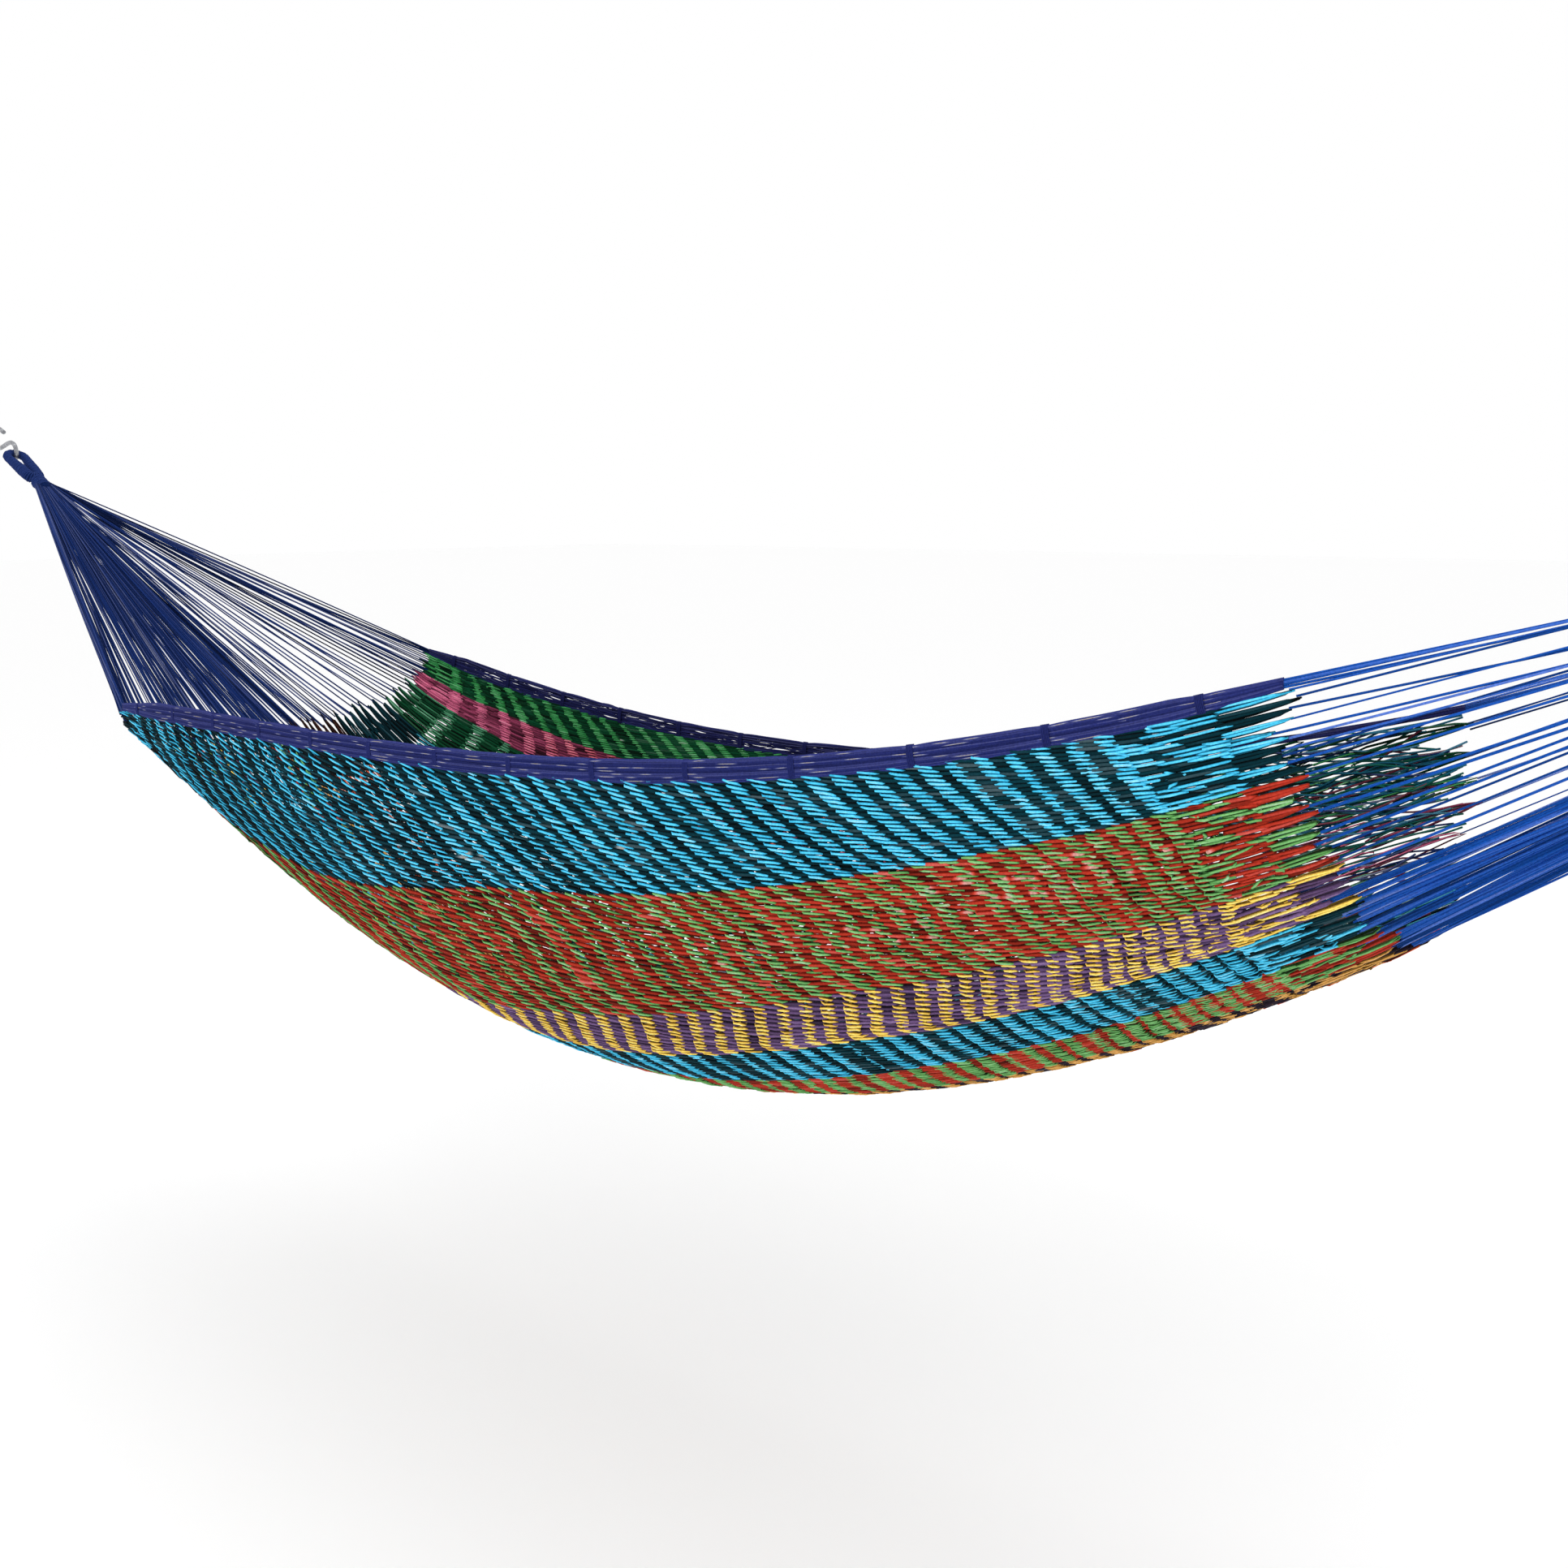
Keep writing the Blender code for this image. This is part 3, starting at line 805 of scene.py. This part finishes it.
def winding(line, radius, pitch, wire, up):
    """A thread wound round a line at a radius: its points, thickness and normals."""
    _, total = spread_along(line, 2)
    turns = total / pitch
    count = int(turns * 14)
    centre, _ = spread_along(line, count)
    girth = np.broadcast_to(radius, len(line)) * np.ones(len(line))
    girth, _ = spread_along(np.column_stack([line, girth]), count)
    radius = girth[:, 3:]
    along = unit(np.gradient(centre, axis=0))
    side = unit(np.cross(along, up))
    rise = np.cross(side, along)
    angle = np.linspace(0, 2 * math.pi * turns, len(centre))[:, None]
    out = side * np.cos(angle) + rise * np.sin(angle)
    rough = 1 + 0.04 * np.sin(angle * 0.37) + RANDOM.normal(0, 0.012, (len(centre), 1))
    return (centre + out * (radius * rough))[None], wire, out[None]


def make_loops():
    """Wound end loops and the bound throats behind them."""
    for name, side in SIDES:
        finish = yarn_material("loop_" + name, srgb(15, 42, 102), twist=0.003)
        core = Strands(14)
        line = eye_line()
        closed = np.concatenate([line, line[:2]])
        up = np.array((0.0, 0.0, 1.0))
        flat = np.broadcast_to(up, closed.shape)[None]
        turned = np.array(pull_frame(side))[:3, :3]
        girth = rope_radius(closed)
        core.add(to_world(closed, side)[None], girth[None] - CORE_INSET, flat @ turned.T, 0.3)
        add_piece(core, "end_loop_core_" + name, finish)
        wound = Strands(6)
        points, wire, out = winding(closed[:-1], girth[:-1] - WINDING_INSET, WINDING_PITCH,
                                    WIRE_RADIUS, up)
        wound.add(to_world(points, side), wire, out @ turned.T, 0.55)
        piece = add_piece(wound, "end_loop_winding_" + name, finish)
        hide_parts("end_loop_" + name)
        make_throat(name, side, finish, turned)


def make_throat(name, side, finish, turned):
    body = Strands(20)
    station = np.array((0.0, 0.003, 0.008, 0.022, 0.032, 0.042))
    girth = np.array((0.006, 0.0125, 0.0136, 0.0136, 0.0130, 0.0080))
    centre = np.column_stack([THROAT_START + station, 0 * station, 0 * station])
    up = np.broadcast_to((0.0, 0.0, 1.0), centre.shape)[None]
    body.add(to_world(centre, side)[None], girth[None], up @ turned.T, 0.3)
    add_piece(body, "throat_core_" + name, finish)
    wound = Strands(6)
    line = np.column_stack([np.linspace(THROAT_START + 0.001, THROAT_START + 0.030, 30),
                            np.zeros(30), np.zeros(30)])
    z = np.array((0.0, 0.0, 1.0))
    for radius, pitch in ((THROAT_RADIUS + 0.0005, 0.0030), (THROAT_RADIUS + 0.0011, 0.0075)):
        points, wire, out = winding(line, radius, pitch, WIRE_RADIUS, z)
        wound.add(to_world(points, side), wire, out @ turned.T, 0.55)
    piece = add_piece(wound, "throat_winding_" + name, finish)
    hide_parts("throat_binding_" + name)


def tie_stations():
    return TIE_REACH * (2 * np.arange(TIES_PER_EDGE) / (TIES_PER_EDGE - 1) - 1)


def wiggle(u, size):
    """A smooth random wander along the edge."""
    found = np.zeros_like(u)
    for _ in range(6):
        found += np.sin(u * RANDOM.uniform(6, 60) + RANDOM.uniform(0, 6.3)) * size / 2.4
    return found


def edge_strand(u, far, height, depth, size):
    """One string of an edge's band, drawn in where the ties hold it."""
    hold = np.exp(-((u[:, None] - tie_stations()) / 0.012) ** 2).sum(1)
    points = edge_points(u, far)
    hold = (1 - 0.10 * hold) * edge_width(u, far)
    points[:, 2] += (height + wiggle(u, size)) * hold
    points[:, 1] += (depth + wiggle(u, size / 2)) * hold
    return points


def make_edges():
    u = np.linspace(-1, 1, 181)
    up = np.broadcast_to((0.0, 0.0, 1.0), (1, len(u), 3))
    for name, far in (("near", False), ("far", True)):
        colour = srgb(40, 48, 114) if not far else srgb(34, 38, 92)
        finish = yarn_material("edge_" + name, colour, twist=0.004)
        strands = Strands(6)
        if far:
            plan = [(z, y, 0.0016, 0.0006) for z in (0.0134, 0.0108, -0.0108, -0.0134)
                    for y in (-0.0015, 0.0015)]
            plan += [(z, y, 0.0009, 0.0026) for z in np.linspace(-0.0105, 0.0105, 17)
                     for y in (-0.001, 0.001)]
        else:
            plan = [(z, y, 0.00160, 0.0004) for z in np.linspace(-0.0132, 0.0132, 12)
                    for y in (-0.0024, 0.0, 0.0024)]
            plan += [(z, -0.0042, 0.0005, 0.0005) for z in np.linspace(-0.0115, 0.0125, 7)]
        for height, depth, radius, size in plan:
            points = edge_strand(u, far, height, depth, size)
            # Painted highlights: short pale stretches on the thinnest strings, as glints along the
            # band.
            pale = 0.95 * (wiggle(u * 4, 1.0) > 0.80) * (radius < 0.0007)
            strands.add(points[None], radius, up, RANDOM.normal(0.5, 0.12) + pale)
        piece = add_piece(strands, "edge_band_" + name, finish)
        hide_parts("edge_cord_" + name)
        make_ties(name, far, finish)


def make_ties(name, far, finish):
    """Rings of thread wound round the edge's band."""
    threads = Strands(6)
    turns = 5
    angle = np.linspace(0, 2 * math.pi * turns, 24 * turns)
    for u in tie_stations():
        here = edge_points(u, far)
        along = unit(edge_points(u + 0.01, far) - edge_points(u - 0.01, far))
        across = unit(np.cross((0.0, 0.0, 1.0), along))
        up = np.cross(along, across)
        tall = (EDGE_HEIGHT / 2 - 0.0008) * edge_width(u, far)
        thick = EDGE_THICKNESS / 2 + 0.0003
        ring = (up * np.cos(angle)[:, None] * tall
                + across * (np.sign(np.sin(angle)) * np.abs(np.sin(angle)) ** 0.6)[:, None] * thick)
        shift = (angle / angle[-1] - 0.5)[:, None] * along * TIE_LENGTH * 0.7
        out = unit(ring)
        threads.add((here + ring + shift)[None], 0.0009, out[None], 0.38)
    piece = add_piece(threads, "ties_" + name, finish)
    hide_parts(*nodes_named("tie_" + name))


def finish_hooks():
    steel = steel_material()
    for name in nodes_named("hook_"):
        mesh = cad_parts[name].data
        mesh.materials.clear()
        mesh.materials.append(steel)
        mesh.shade_smooth()


# ---- studio -------------------------------------------------------------------------

FLOOR_HEIGHT = -1.45
CAMERA_PLACE = Vector((1.6048, -1.6932, -0.100))
CAMERA_YAW = math.radians(39.21)
CAMERA_PITCH = math.radians(-9.62)
CAMERA_ROLL = math.radians(-0.13)
SENSOR = 36.0
FOCAL_LENGTH = 1.0515 * SENSOR


def make_camera():
    yaw, pitch, roll = CAMERA_YAW, CAMERA_PITCH, CAMERA_ROLL
    right = Vector((math.cos(yaw), math.sin(yaw), 0))
    ahead = Vector((-math.sin(yaw) * math.cos(pitch), math.cos(yaw) * math.cos(pitch),
                    math.sin(pitch)))
    up = right.cross(ahead)
    turned = right * math.cos(roll) + up * math.sin(roll)
    upright = up * math.cos(roll) - right * math.sin(roll)
    data = bpy.data.cameras.new("camera")
    data.sensor_width = SENSOR
    data.lens = FOCAL_LENGTH
    data.clip_start = 0.05
    camera = bpy.data.objects.new("camera", data)
    axes = Matrix((turned, upright, -ahead)).transposed().to_4x4()
    axes.translation = CAMERA_PLACE
    camera.matrix_world = axes
    bpy.context.scene.collection.objects.link(camera)
    bpy.context.scene.camera = camera


def area_light(name, place, target, size, power, colour=(1, 1, 1)):
    data = bpy.data.lights.new(name, "AREA")
    data.shape = "DISK"
    data.size = size
    data.energy = power
    data.color = colour
    light = bpy.data.objects.new(name, data)
    light.location = place
    aim = Vector(target) - Vector(place)
    light.rotation_euler = aim.to_track_quat("-Z", "Y").to_euler()
    bpy.context.scene.collection.objects.link(light)


def make_studio():
    half = 40.0
    mesh = bpy.data.meshes.new("studio_floor")
    corners = [(x, y, FLOOR_HEIGHT) for x, y in
               ((-half, -half), (half, -half), (half, half), (-half, half))]
    mesh.from_pydata(corners, [], [(0, 1, 2, 3)])
    material, _, shader = new_material("studio_floor", 0.9)
    shader.inputs["Base Color"].default_value = (0.985, 0.985, 0.985, 1)
    mesh.materials.append(material)
    floor = bpy.data.objects.new("studio_floor", mesh)
    bpy.context.scene.collection.objects.link(floor)
    world = bpy.data.worlds.new("studio")
    world.use_nodes = True
    background = world.node_tree.nodes["Background"]
    background.inputs["Color"].default_value = (1, 1, 1, 1)
    background.inputs["Strength"].default_value = 1.0
    bpy.context.scene.world = world
    area_light("key", (1.2, -3.2, 2.6), (0.1, 0, -0.6), 2.4, 45)
    area_light("top", (-0.6, 0.8, 3.0), (0, 0, -0.6), 2.5, 20)
    bpy.context.scene.view_settings.view_transform = "Standard"


make_camera()
make_studio()
make_arms(make_net())
make_loose_strands()
make_loops()
make_edges()
finish_hooks()
